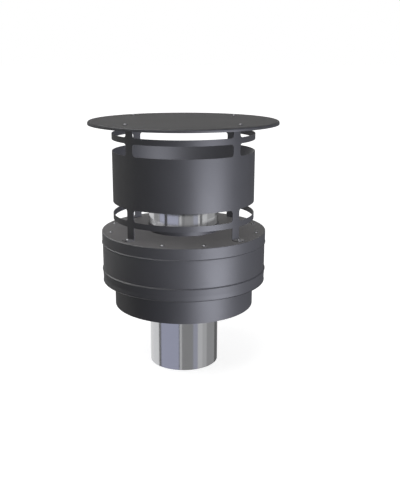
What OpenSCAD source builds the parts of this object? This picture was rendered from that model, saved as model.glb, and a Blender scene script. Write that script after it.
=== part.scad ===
// Chimney rain cap: a flat rain plate over a windowed wind shield, an insulated drum with a screwed lid,
// an outer collar that slips over the chimney's casing, and a flue pipe that runs through them all.
// The origin is the centre of the flue pipe's lower end and +Z runs up the cap's axis.
// Sizes are in millimetres.

/* [Flue pipe] */
// Outer diameter of the flue pipe, whose lower end enters a 150 mm flue
pipe_d = 149; // [120:1:170]
// Wall of the flue pipe
pipe_wall = 1; // [0.8:0.1:1.5]
// Length of bare pipe below the outer collar
spigot_len = 135; // [60:5:250]
// Height of the pipe's open top above the drum lid
outlet_h = 116; // [60:1:160]
// Height of the rolled stop bead, which meets the end of the flue that the pipe enters
stop_bead_h = 6; // [4:0.5:10]
// How far the stop bead stands out from the pipe
stop_bead_out = 2; // [1:0.5:3]
// Distance from the collar's lower edge up to the stop bead
stop_bead_up = 6; // [2:1:20]

/* [Outer collar] */
// Outer diameter of the collar below the drum
collar_d = 300; // [250:1:400]
// Length of the collar below the drum
collar_h = 55; // [30:1:120]
// Sheet thickness of the collar
collar_t = 1.2; // [0.8:0.1:1.5]
// Width of the collar's flange inside the drum, past the bend
collar_flange_w = 18; // [14:0.5:18]
// Inside radius of the bend between the collar and its flange
collar_bend = 1; // [0.5:0.1:2]

/* [Drum] */
// How far the flanges of the lid and the base stand out past the collar
drum_overhang = 25.5; // [24:0.5:60]
// Height from the underside of the base to the top of the lid
drum_h = 109; // [90:1:200]
// Sheet thickness of lid, wall and base
drum_t = 0.8; // [0.6:0.1:1.2]
// Height of the lid's flange and of the base's flange, to the middle of the bead
flange_h = 25; // [15:1:35]
// Height of the bead that ends each flange
bead_h = 4; // [3:0.5:6]
// How far the bead stands out from its flange
bead_out = 0.8; // [0.5:0.1:1.2]
// Outer radius of the bend at the rim of the lid and the base
drum_bend = 1.8; // [1.4:0.1:3]

/* [Pipe upstand] */
// Height of the upstand above the lid
upstand_h = 15; // [8:1:30]
// Length of the upstand below the lid's top
upstand_below = 5; // [3:1:8]
// Sheet thickness of the upstand
upstand_t = 1; // [0.8:0.1:1.5]

/* [Lid ring and gasket] */
// Thickness of the fibre gasket under the lid
gasket_t = 2; // [1:0.5:4]
// Thickness of the angle ring that holds the lid's nuts
lid_ring_t = 1.5; // [1:0.1:2.5]
// Depth of the angle ring's upright leg
lid_ring_drop = 22; // [12:1:30]
// Width of sheet that the ring keeps inside the screw circle
lid_ring_land = 10; // [7:0.5:14]
// Inside radius of the angle ring's bend
lid_ring_bend = 1.5; // [1:0.1:2.5]

/* [Wind shield cage] */
// How far the rolled cage stands in from the rim of the drum
cage_inset = 25.5; // [22:0.5:50]
// Sheet thickness of the cage
cage_t = 1.5; // [1:0.1:2]
// Number of legs
leg_count = 4; // [3:1:6]
// Width of a leg
leg_w = 20; // [14:1:30]
// Opening between the lid and the lower ring
foot_gap = 26; // [16:0.5:50]
// Height of the upper and the lower ring
ring_h = 12; // [6:0.5:30]
// Opening between a ring and the wind shield
vent_gap = 24.5; // [16:0.5:50]
// Height of the wind shield
shield_h = 106.5; // [60:0.5:200]
// Opening between the upper ring and the rain plate
top_gap = 23.5; // [16:0.5:50]
// Corner radius of the windows
window_corner = 6; // [2:0.5:7]
// Inside radius of the bends at the tabs
tab_bend = 1.5; // [1:0.1:2.5]
// Length of a tab past its screw
tab_margin = 9; // [6:0.5:10]
// Distance from the cage's outer face to the foot screws
foot_screw_out = 8; // [7.5:0.5:9]

/* [Rain plate] */
// How far the rain plate stands out past the cage
plate_overhang = 49; // [30:1:100]
// Sheet thickness of the rain plate
plate_t = 2; // [1:0.1:3]
// Height of the rain plate's turned-down rim
plate_rim_h = 7; // [5:0.5:20]
// Outer radius of the bend at the rain plate's rim
plate_bend = 3; // [3:0.1:4.5]
// Distance from the cage's outer face to the rain plate's screws
plate_screw_out = 8; // [7.5:0.5:18]

/* [Screws, washers and nuts] */
// Thread diameter of the screws
screw_d = 4; // [3:0.5:5]
// Diameter of a screw's domed head
head_d = 7; // [6:0.5:9]
// Height of a screw's domed head
head_h = 2.2; // [1.5:0.1:3]
// Length of the lid screws below the head
lid_screw_len = 13; // [12:0.5:16]
// Length of the rain plate's screws below the head
plate_screw_len = 10; // [9:0.5:14]
// Width across the head's hexagon recess
recess_w = 2.5; // [2:0.1:3]
// Depth of the head's hexagon recess
recess_depth = 1.2; // [0.8:0.1:1.4]
// Number of lid screws between one leg and the next
screws_between_legs = 2; // [1:1:3]
// Outer diameter of a washer
washer_d = 10; // [9.5:0.5:12]
// Thickness of a washer
washer_t = 0.8; // [0.5:0.1:1.5]
// Width across a nut's flats
nut_w = 7; // [7:0.5:8]
// Thickness of a nut
nut_h = 3.2; // [2.5:0.1:4]

/* [Anchor plate and rivets] */
// Thickness of the anchor plate
anchor_t = 1.5; // [1:0.1:2.5]
// Height of the anchor plate's hub on the flue pipe
anchor_hub_h = 14; // [8:1:25]
// Inside radius of the bend between the anchor plate and its hub
hub_bend = 1.5; // [1:0.1:2.5]
// Number of rivets round the base
rivet_count = 8; // [6:1:12]
// Body diameter of a rivet
rivet_d = 4; // [3:0.2:5]
// Head diameter of a rivet
rivet_head_d = 8; // [7.5:0.5:9]
// Height of a rivet's head
rivet_head_h = 1.4; // [1:0.1:2]
// Diameter of a rivet's set end
rivet_tail_d = 6; // [5.5:0.5:7]
// Height of a rivet's set end
rivet_tail_h = 2.5; // [1.5:0.1:4]
// Distance from the collar's outer face to the rivets
rivet_out = 11; // [8:0.5:12]

/* [Fits and clearances] */
// Slip clearance between sheets that slide over each other, on the radius
slip = 0.15; // [0.05:0.05:0.3]
// Clearance of a screw or a rivet in its hole, on the radius
hole_clear = 0.2; // [0.1:0.05:0.4]
// Clearance between a screw and its nut's thread, on the radius
thread_clear = 0.05; // [0.02:0.01:0.1]
// Clearance between the flue pipe and what it slides through, on the radius
pipe_clear = 0.3; // [0.1:0.05:0.8]
// Clearance round the mineral wool
wool_clear = 0.5; // [0.2:0.1:2]
// Clearance between the mineral wool and the ends of the lid screws
screw_end_clear = 2; // [1:0.5:6]

/* [Hidden] */

// Facets of the large rounds, of the fixings and of the arcs in their sections
$fn = 120;
small_fn = 36;
arc_fn = 96;
corner_fn = 48;

// How far a cutter runs past the sheet that it cuts, and past the middle of a window in degrees
over = 1;
over_angle = 2;

paint = [0.31, 0.32, 0.34];
paint_flat = [0.35, 0.35, 0.36];
steel = [0.72, 0.73, 0.76];
zinc = [0.62, 0.64, 0.66];
wool = [0.72, 0.66, 0.45];
fibre = [0.80, 0.79, 0.74];
rubber = [0.13, 0.13, 0.14];

// Heights, from the bottom up
collar_z = spigot_len;
drum_z = collar_z + collar_h;
lid_z = drum_z + drum_h;
cage_z = lid_z;
lower_ring_z = lid_z + foot_gap;
shield_z = lower_ring_z + ring_h + vent_gap;
upper_ring_z = shield_z + shield_h + vent_gap;
plate_under_z = upper_ring_z + ring_h + top_gap;
plate_z = plate_under_z + plate_t;
pipe_top_z = lid_z + outlet_h;

// Radii
pipe_r = pipe_d / 2;
collar_r = collar_d / 2;
drum_r = collar_r + drum_overhang;
flange_in_r = drum_r - drum_t;
wall_r = flange_in_r - slip;
wall_in_r = wall_r - drum_t;
cage_r = drum_r - cage_inset;
cage_in_r = cage_r - cage_t;
plate_r = cage_r + plate_overhang;
lid_screw_r = cage_r + foot_screw_out;
plate_screw_r = cage_r + plate_screw_out;
foot_tab_r = lid_screw_r + tab_margin;
top_tab_r = plate_screw_r + tab_margin;
upstand_in_r = pipe_r + pipe_clear;
upstand_r = upstand_in_r + upstand_t;
rivet_r = collar_r + rivet_out;

// Stack under the lid
lid_under_z = lid_z - drum_t;
gasket_z = lid_under_z - gasket_t;
lid_ring_z = gasket_z - lid_ring_t;
lid_nut_z = lid_ring_z - nut_h;
lid_ring_r = wall_in_r - slip;
lid_ring_in_r = lid_screw_r - lid_ring_land;
lid_washer_seat_z = lid_z;
foot_washer_seat_z = cage_z + cage_t;
lid_screw_end_z = lid_z + washer_t - lid_screw_len;

// Stack on the base
base_top_z = drum_z + drum_t;
collar_flange_z = base_top_z;
collar_flange_r = collar_r + collar_bend + collar_flange_w;
base_hole_r = collar_r + collar_bend + slip;
anchor_z = collar_flange_z + collar_t;
anchor_top_z = anchor_z + anchor_t;
anchor_in_r = pipe_r + thread_clear;
wool_z = anchor_top_z;
wool_top_z = lid_screw_end_z - screw_end_clear;
wool_slab_h = (wool_top_z - wool_z) / 2;
hub_turn = hub_bend + anchor_t;
wool_in_r = anchor_in_r + hub_turn + wool_clear;
wool_r = lid_ring_r - lid_ring_t - wool_clear;

// Fixing places
leg_pitch = 360 / leg_count;
leg_start = leg_pitch / 2;
leg_angles = [for (k = [0 : leg_count - 1]) leg_start + k * leg_pitch];
screw_pitch = leg_pitch / (screws_between_legs + 1);
lid_angles = [for (a = leg_angles, j = [1 : screws_between_legs]) a + j * screw_pitch];
rivet_angles = [for (k = [0 : rivet_count - 1]) (k + 0.5) * 360 / rivet_count];

// Children set at each of the angles, on a circle of radius r and at height z
module around(angles, r, z) {
    for (a = angles) {
        rotate([0, 0, a]) translate([r, 0, z]) children();
    }
}

// Quarter of a round bend in section, from the -X side of its centre to the -Y side
module bend_section(inside, t) {
    intersection() {
        difference() {
            circle(r = inside + t);
            circle(r = inside);
        }
        translate([-inside - t, -inside - t]) square(inside + t);
    }
}

// Section of a flat sheet with its rim turned down: the top of the flat is at y = 0, and the rim at x = rim_r
module pan_section(hole_r, rim_r, t, rim_h, bend) {
    translate([hole_r, -t]) square([rim_r - bend - hole_r, t]);
    translate([rim_r - bend, -bend]) rotate(180) bend_section(bend - t, t);
    translate([rim_r - t, -rim_h]) square([t, rim_h - bend]);
}

// Section of the bead on a flange: the part of a circle that stands out from the flange's inner face
module bead_section(face_r, t) {
    bead_r = (bead_h * bead_h / 4 + bead_out * bead_out) / (2 * bead_out);
    intersection() {
        translate([face_r + bead_out - bead_r, 0]) circle(r = bead_r);
        translate([face_r - t, -bead_h / 2]) square([t + bead_out + over, bead_h]);
    }
}

// Lid or base of the drum, with its flat face up at z = 0 and its beaded flange below
module drum_end(hole_r) {
    rotate_extrude() {
        pan_section(hole_r, drum_r, drum_t, flange_h, drum_bend);
        translate([0, -flange_h]) bead_section(drum_r, drum_t);
    }
}

// Cutter for a hole through a sheet of thickness t, which is centred on z = 0
module fixing_hole(shank_d, t) {
    cylinder(r = shank_d / 2 + hole_clear, h = t + 2 * over, center = true, $fn = small_fn);
}

module screw_hole(t) {
    fixing_hole(screw_d, t);
}

// Domed screw with a hexagon recess: the head stands on z = 0 and the shank hangs below
module screw(len) {
    dome_r = (head_d * head_d / 4 + head_h * head_h) / (2 * head_h);
    difference() {
        rotate_extrude($fn = small_fn) intersection() {
            translate([0, head_h - dome_r]) circle(r = dome_r, $fn = arc_fn);
            square([head_d, head_h + over]);
        }
        translate([0, 0, head_h - recess_depth])
            cylinder(d = recess_w / cos(30), h = recess_depth + over, $fn = 6);
    }
    translate([0, 0, -len]) cylinder(d = screw_d, h = len, $fn = small_fn);
}

module washer() {
    difference() {
        cylinder(d = washer_d, h = washer_t, $fn = small_fn);
        translate([0, 0, washer_t / 2]) screw_hole(washer_t);
    }
}

module nut() {
    difference() {
        cylinder(d = nut_w / cos(30), h = nut_h, $fn = 6);
        translate([0, 0, -over])
            cylinder(r = screw_d / 2 + thread_clear, h = nut_h + 2 * over, $fn = small_fn);
    }
}

// Rivet with its domed head below z = 0 and its set end above the grip
module rivet(grip) {
    dome_r = (rivet_head_d * rivet_head_d / 4 + rivet_head_h * rivet_head_h) / (2 * rivet_head_h);
    rotate_extrude($fn = small_fn) intersection() {
        translate([0, dome_r - rivet_head_h]) circle(r = dome_r, $fn = arc_fn);
        translate([0, -rivet_head_h - over]) square([rivet_head_d, rivet_head_h + over]);
    }
    cylinder(d = rivet_d, h = grip, $fn = small_fn);
    translate([0, 0, grip]) cylinder(d = rivet_tail_d, h = rivet_tail_h, $fn = small_fn);
}

module rain_plate() {
    color(paint_flat) difference() {
        translate([0, 0, plate_z]) rotate_extrude()
            pan_section(0, plate_r, plate_t, plate_rim_h, plate_bend);
        around(leg_angles, plate_screw_r, plate_z - plate_t / 2) screw_hole(plate_t);
    }
}

module rain_plate_screws() {
    color(steel) around(leg_angles, plate_screw_r, plate_z + washer_t) screw(plate_screw_len);
}

module rain_plate_washers() {
    color(rubber) around(leg_angles, plate_screw_r, plate_z) washer();
}

module rain_plate_nuts() {
    color(zinc) around(leg_angles, plate_screw_r, plate_under_z - cage_t - nut_h) nut();
}

// Section of the cage's sheet, a tube with a flange turned out at each end
module cage_section() {
    turn = tab_bend + cage_t;
    tab_r = cage_r + tab_bend;
    translate([cage_in_r, cage_z + turn]) square([cage_t, plate_under_z - cage_z - 2 * turn]);
    translate([tab_r, cage_z + turn]) bend_section(tab_bend, cage_t);
    translate([tab_r, plate_under_z - turn]) mirror([0, 1]) bend_section(tab_bend, cage_t);
    translate([tab_r, cage_z]) square([foot_tab_r - tab_r, cage_t]);
    translate([tab_r, plate_under_z - cage_t]) square([top_tab_r - tab_r, cage_t]);
}

// Half window beside a leg, from the leg's edge outward: its corners next to the leg are rounded
module window_half(reach, low, high, round_low, round_high) {
    r = window_corner;
    low_r = round_low ? r : 0;
    high_r = round_high ? r : 0;
    translate([leg_w / 2 + r, low]) square([reach - leg_w / 2 - r, high - low]);
    translate([leg_w / 2, low + low_r]) square([r + over, high - low - low_r - high_r]);
    if (round_low) {
        translate([leg_w / 2 + r, low + r]) circle(r = r, $fn = corner_fn);
    }
    if (round_high) {
        translate([leg_w / 2 + r, high - r]) circle(r = r, $fn = corner_fn);
    }
}

// Everything that is cut away on both sides of the leg that lies along +X
module leg_sides() {
    half_pitch = leg_pitch / 2 + over_angle;
    reach = (top_tab_r + over) * sin(half_pitch);
    near = cage_in_r * cos(half_pitch) - over;
    bands = [
        [cage_z - over, lower_ring_z, false, false],
        [lower_ring_z + ring_h, shield_z, true, true],
        [shield_z + shield_h, upper_ring_z, true, true],
        [upper_ring_z + ring_h, plate_under_z + over, true, false]
    ];
    translate([near, 0, 0]) rotate([90, 0, 90]) linear_extrude(height = top_tab_r + over - near)
        for (side = [0, 1], b = bands) {
            mirror([side, 0]) window_half(reach, b[0], b[1], b[2], b[3]);
        }
}

module cage() {
    color(paint) difference() {
        rotate_extrude() cage_section();
        for (a = leg_angles) {
            rotate([0, 0, a]) leg_sides();
        }
        around(leg_angles, lid_screw_r, cage_z + cage_t / 2) screw_hole(cage_t);
        around(leg_angles, plate_screw_r, plate_under_z - cage_t / 2) screw_hole(cage_t);
    }
}

module cage_foot_screws() {
    color(steel) around(leg_angles, lid_screw_r, foot_washer_seat_z + washer_t)
        screw(lid_screw_len + cage_t);
}

module lid_screws() {
    color(steel) around(lid_angles, lid_screw_r, lid_washer_seat_z + washer_t) screw(lid_screw_len);
}

module lid_washers() {
    color(rubber) {
        around(leg_angles, lid_screw_r, foot_washer_seat_z) washer();
        around(lid_angles, lid_screw_r, lid_washer_seat_z) washer();
    }
}

module lid_nuts() {
    color(zinc) {
        around(leg_angles, lid_screw_r, lid_nut_z) nut();
        around(lid_angles, lid_screw_r, lid_nut_z) nut();
    }
}

// Holes for all the screws of the lid's circle, through the sheets between z0 and z1
module lid_screw_holes(z0, z1) {
    around(leg_angles, lid_screw_r, (z0 + z1) / 2) screw_hole(z1 - z0);
    around(lid_angles, lid_screw_r, (z0 + z1) / 2) screw_hole(z1 - z0);
}

module drum_lid() {
    color(paint_flat) difference() {
        translate([0, 0, lid_z]) drum_end(upstand_r + slip);
        lid_screw_holes(lid_under_z, lid_z);
    }
}

module pipe_upstand() {
    color(paint) translate([0, 0, lid_z - upstand_below]) difference() {
        cylinder(r = upstand_r, h = upstand_below + upstand_h);
        translate([0, 0, -over]) cylinder(r = upstand_in_r, h = upstand_below + upstand_h + 2 * over);
    }
}

module lid_gasket() {
    color(fibre) difference() {
        translate([0, 0, gasket_z]) cylinder(r = lid_ring_r, h = gasket_t);
        translate([0, 0, gasket_z - over]) cylinder(r = lid_ring_in_r, h = gasket_t + 2 * over);
        lid_screw_holes(gasket_z, lid_under_z);
    }
}

module lid_ring() {
    color(zinc) difference() {
        translate([0, 0, gasket_z]) rotate_extrude()
            pan_section(lid_ring_in_r, lid_ring_r, lid_ring_t, lid_ring_drop, lid_ring_bend + lid_ring_t);
        lid_screw_holes(lid_ring_z, gasket_z);
    }
}

module drum_wall() {
    wall_h = lid_under_z - base_top_z - 2 * drum_bend;
    color(paint) translate([0, 0, base_top_z + drum_bend]) difference() {
        cylinder(r = wall_r, h = wall_h);
        translate([0, 0, -over]) cylinder(r = wall_in_r, h = wall_h + 2 * over);
    }
}

// Ring of mineral wool from height z
module wool_slab(z) {
    translate([0, 0, z]) difference() {
        cylinder(r = wool_r, h = wool_slab_h);
        translate([0, 0, -over]) cylinder(r = wool_in_r, h = wool_slab_h + 2 * over);
    }
}

module upper_wool_slab() {
    color(wool) wool_slab(wool_z + wool_slab_h);
}

// The lower slab has a pocket for the set end of each rivet
module lower_wool_slab() {
    pocket_r = rivet_tail_d / 2 + wool_clear;
    pocket_h = rivet_tail_h + wool_clear;
    color(wool) difference() {
        wool_slab(wool_z);
        around(rivet_angles, rivet_r, wool_z - over)
            cylinder(r = pocket_r, h = pocket_h + over, $fn = small_fn);
    }
}

// Holes for the rivets, through the sheets between z0 and z1
module rivet_holes(z0, z1) {
    around(rivet_angles, rivet_r, (z0 + z1) / 2) fixing_hole(rivet_d, z1 - z0);
}

module drum_base() {
    color(paint) difference() {
        translate([0, 0, drum_z]) mirror([0, 0, 1]) drum_end(base_hole_r);
        rivet_holes(drum_z, base_top_z);
    }
}

module anchor_plate() {
    color(zinc) difference() {
        rotate_extrude() {
            flat_r = anchor_in_r + hub_turn;
            translate([flat_r, anchor_z]) square([collar_flange_r - flat_r, anchor_t]);
            translate([flat_r, anchor_z + hub_turn]) bend_section(hub_bend, anchor_t);
            translate([anchor_in_r, anchor_z + hub_turn]) square([anchor_t, anchor_hub_h - hub_turn]);
        }
        rivet_holes(anchor_z, anchor_top_z);
    }
}

module base_rivets() {
    color(steel) around(rivet_angles, rivet_r, drum_z) rivet(anchor_top_z - drum_z);
}

module outer_collar() {
    bend_z = anchor_z - collar_bend - collar_t;
    bend_r = collar_r + collar_bend;
    color(paint) difference() {
        rotate_extrude() {
            translate([collar_r - collar_t, collar_z]) square([collar_t, bend_z - collar_z]);
            translate([bend_r, bend_z]) mirror([0, 1]) bend_section(collar_bend, collar_t);
            translate([bend_r, collar_flange_z]) square([collar_flange_w, collar_t]);
        }
        rivet_holes(collar_flange_z, anchor_z);
    }
}

// Part of a circle that stands out past the radius face_r, in section
module stop_bead_section(face_r) {
    bead_r = (stop_bead_h * stop_bead_h / 4 + stop_bead_out * stop_bead_out) / (2 * stop_bead_out);
    intersection() {
        translate([face_r + stop_bead_out - bead_r, 0]) circle(r = bead_r);
        translate([face_r - over, -stop_bead_h / 2]) square([stop_bead_out + 2 * over, stop_bead_h]);
    }
}

module flue_pipe() {
    bead_z = collar_z + stop_bead_up + stop_bead_h / 2;
    color(steel) rotate_extrude() difference() {
        union() {
            square([pipe_r, pipe_top_z]);
            translate([0, bead_z]) stop_bead_section(pipe_r);
        }
        translate([-over, -over]) square([pipe_r - pipe_wall + over, pipe_top_z + 2 * over]);
        translate([0, bead_z]) stop_bead_section(pipe_r - pipe_wall);
    }
}

rain_plate();
rain_plate_screws();
rain_plate_washers();
rain_plate_nuts();
cage();
cage_foot_screws();
lid_screws();
lid_washers();
lid_nuts();
drum_lid();
pipe_upstand();
lid_gasket();
lid_ring();
drum_wall();
upper_wool_slab();
lower_wool_slab();
drum_base();
anchor_plate();
base_rivets();
outer_collar();
flue_pipe();
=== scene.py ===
"""Looks of the chimney rain cap: sheet shapes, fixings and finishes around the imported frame, in metres."""

import math

import bpy
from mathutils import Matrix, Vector


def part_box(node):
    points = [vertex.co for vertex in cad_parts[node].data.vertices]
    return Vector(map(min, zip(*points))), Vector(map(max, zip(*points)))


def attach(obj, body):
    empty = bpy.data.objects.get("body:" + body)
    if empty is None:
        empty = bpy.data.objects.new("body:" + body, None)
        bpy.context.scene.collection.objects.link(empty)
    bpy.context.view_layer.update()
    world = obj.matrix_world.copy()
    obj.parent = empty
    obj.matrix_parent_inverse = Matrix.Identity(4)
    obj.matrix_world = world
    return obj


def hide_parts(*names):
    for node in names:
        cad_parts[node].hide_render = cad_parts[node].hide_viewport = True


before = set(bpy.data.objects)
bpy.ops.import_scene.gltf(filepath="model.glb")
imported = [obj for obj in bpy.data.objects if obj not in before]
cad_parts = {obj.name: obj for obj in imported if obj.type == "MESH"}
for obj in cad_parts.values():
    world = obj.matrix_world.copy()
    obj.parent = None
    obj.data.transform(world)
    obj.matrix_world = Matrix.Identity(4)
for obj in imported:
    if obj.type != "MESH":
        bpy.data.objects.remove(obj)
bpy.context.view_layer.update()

MM = 0.001
BODY = "root"
TURN = 2 * math.pi


# Sizes of the sheets and circles, and those taken from the frame's boxes

BOXES = {name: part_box(name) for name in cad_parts}


def rim(node):
    """Outer radius of a round node."""
    low, high = BOXES[node]
    return min(high.x, high.y, -low.x, -low.y)


def top(node):
    return BOXES[node][1].z


def foot(node):
    return BOXES[node][0].z


PLATE_SHEET = 2.0 * MM
CAGE_SHEET = 1.5 * MM
DRUM_SHEET = 0.8 * MM
COLLAR_SHEET = 1.2 * MM
PIPE_SHEET = 1.0 * MM
UPSTAND_SHEET = 1.0 * MM
SLIP = 0.15 * MM

PIPE_R = 74.5 * MM
CAGE_R = rim("cage")
DRUM_R = rim("drum_wall") + SLIP + DRUM_SHEET
COLLAR_R = 150.0 * MM
LID_Z = top("drum_lid")
BASE_Z = foot("drum_base")
PLATE_Z = top("rain_plate")
COLLAR_TOP_Z = top("outer_collar")
SCREW_CIRCLE = 158.0 * MM
RIVET_CIRCLE = 161.0 * MM
LEG_COUNT = 4
FIRST_LEG = math.radians(45)


# Helpers for shader and geometry trees


def feed(tree, socket, value):
    """Gives an input socket its value, or a link from another node's output."""
    if isinstance(value, bpy.types.NodeSocket):
        tree.links.new(value, socket)
    else:
        socket.default_value = value


def node(tree, kind, values=None, **settings):
    """A node with its settings, and with values or links on its input sockets."""
    made = tree.nodes.new(kind)
    for name, value in settings.items():
        setattr(made, name, value)
    for name, value in (values or {}).items():
        feed(tree, made.inputs[name], value)
    return made


def output(tree, kind, values=None, **settings):
    """The first output of a new node."""
    return node(tree, kind, values, **settings).outputs[0]


def math_node(tree, operation, *given):
    return output(tree, "ShaderNodeMath", dict(enumerate(given)), operation=operation)


def times(tree, first, second):
    return math_node(tree, "MULTIPLY", first, second)


def over(tree, first, second):
    return math_node(tree, "DIVIDE", first, second)


def times_plus(tree, value, factor, extra):
    return math_node(tree, "MULTIPLY_ADD", value, factor, extra)


def new_group(name, kind, inputs, outputs, out_type="Float"):
    """A node group with named sockets. An input is given with its default, or with the word for its type where
    it has none. Also gives the sockets that carry the inputs inside the group."""
    tree = bpy.data.node_groups.new(name, kind)
    for label, default in inputs.items():
        word = default if isinstance(default, str) else "Int" if isinstance(default, int) else "Float"
        socket = tree.interface.new_socket(label, in_out="INPUT", socket_type=f"NodeSocket{word}")
        if default != word:
            socket.default_value = default
    for label in outputs:
        tree.interface.new_socket(label, in_out="OUTPUT", socket_type=f"NodeSocket{out_type}")
    return tree, tree.nodes.new("NodeGroupInput").outputs


def geometry_group(name, inputs):
    return new_group(name, "GeometryNodeTree", {"Section": "Geometry", "Material": "Material", **inputs},
                     ["Geometry"], "Geometry")


def group_out(tree, results):
    """Links each result to the group's output of that name."""
    ends = tree.nodes.new("NodeGroupOutput").inputs
    for name, value in results.items():
        tree.links.new(value, ends[name])
    return tree


def geometry_out(tree, geometry, material):
    """The end of a geometry tree: instances made real, and the material set."""
    whole = output(tree, "GeometryNodeRealizeInstances", {"Geometry": geometry})
    painted = output(tree, "GeometryNodeSetMaterial", {"Geometry": whole, "Material": material})
    return group_out(tree, {"Geometry": painted})


def smooth_step(tree, value, low, high):
    """0 below low, 1 above high and a soft step between them. low may be the larger one."""
    values = {"Value": value, "From Min": low, "From Max": high}
    return output(tree, "ShaderNodeMapRange", values, interpolation_type="SMOOTHSTEP")


def is_greater(tree, first, second):
    values = {"A": first, "B": second}
    return output(tree, "FunctionNodeCompare", values, data_type="FLOAT", operation="GREATER_THAN")


def vector(tree, **parts):
    return output(tree, "ShaderNodeCombineXYZ", parts)


def split_vector(tree, value):
    return node(tree, "ShaderNodeSeparateXYZ", {"Vector": value}).outputs


def on_circle(tree, radius, angle, height):
    """The place at an angle on a circle round the Z axis."""
    x, y = [times(tree, radius, math_node(tree, operation, angle)) for operation in ("COSINE", "SINE")]
    return vector(tree, X=x, Y=y, Z=height)


def own_place(tree):
    """The shaded point's place on its object."""
    return tree.nodes.new("ShaderNodeTexCoord").outputs["Object"]


def noise(tree, place, scale, detail):
    return node(tree, "ShaderNodeTexNoise", {"Vector": place, "Scale": scale, "Detail": detail}).outputs["Fac"]


def mix_colour(tree, factor, first, second):
    mixed = node(tree, "ShaderNodeMix", {"Factor": factor}, data_type="RGBA")
    for place, value in ((6, first), (7, second)):
        feed(tree, mixed.inputs[place], (*value, 1.0) if isinstance(value, tuple) else value)
    return mixed.outputs[2]


# Geometry trees

MERGE_GAP = 0.001 * MM
SHARP_ANGLE = math.radians(35)
THREAD_STEPS = 20
RIDGE_SIDES = 3
RIDGE_SHARE = 0.42


def turned_section_tree():
    """Turns a section, a line of points in the XZ plane, once round the Z axis. Where the point attribute
    six_sided is 1 the turned surface is a hexagon, with the point's x as half its width across the flats."""
    tree, given = geometry_group("turned_section", {"Segments": 96, "Sharp Angle": SHARP_ANGLE})
    count = node(tree, "GeometryNodeAttributeDomainSize", {"Geometry": given["Section"]})
    points = count.outputs["Point Count"]
    row_length = math_node(tree, "ADD", given["Segments"], 1)
    grid_values = {"Size X": 1.0, "Size Y": 1.0, "Vertices X": points, "Vertices Y": row_length}
    grid = node(tree, "GeometryNodeMeshGrid", grid_values).outputs["Mesh"]
    index = output(tree, "GeometryNodeInputIndex")
    place = math_node(tree, "FLOOR", over(tree, math_node(tree, "ADD", index, 0.5), row_length))
    step = math_node(tree, "SUBTRACT", index, times(tree, place, row_length))
    angle = times(tree, over(tree, step, given["Segments"]), TURN)
    position = output(tree, "GeometryNodeInputPosition")
    flag = output(tree, "GeometryNodeInputNamedAttribute", {"Name": "six_sided"}, data_type="FLOAT")
    sampled = []
    for value, kind in ((position, "FLOAT_VECTOR"), (flag, "FLOAT")):
        values = {"Geometry": given["Section"], "Value": value, "Index": place}
        sampled.append(node(tree, "GeometryNodeSampleIndex", values, data_type=kind).outputs["Value"])
    section = split_vector(tree, sampled[0])
    from_flat = math_node(tree, "SUBTRACT", math_node(tree, "MODULO", angle, TURN / 6), TURN / 12)
    widening = math_node(tree, "SUBTRACT", over(tree, 1, math_node(tree, "COSINE", from_flat)), 1)
    stretch = times_plus(tree, widening, sampled[1], 1)
    turned = on_circle(tree, times(tree, section["X"], stretch), angle, section["Z"])
    placed = output(tree, "GeometryNodeSetPosition", {"Geometry": grid, "Position": turned})
    closed = output(tree, "GeometryNodeMergeByDistance", {"Geometry": placed, "Distance": MERGE_GAP})
    all_smooth = {"Geometry": closed, "Shade Smooth": True}
    smooth = output(tree, "GeometryNodeSetShadeSmooth", all_smooth, domain="FACE")
    bend = tree.nodes.new("GeometryNodeInputMeshEdgeAngle").outputs["Unsigned Angle"]
    sharp = is_greater(tree, bend, given["Sharp Angle"])
    sharp_edges = {"Geometry": smooth, "Selection": sharp, "Shade Smooth": False}
    edged = output(tree, "GeometryNodeSetShadeSmooth", sharp_edges, domain="EDGE")
    return geometry_out(tree, edged, given["Material"])


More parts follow.
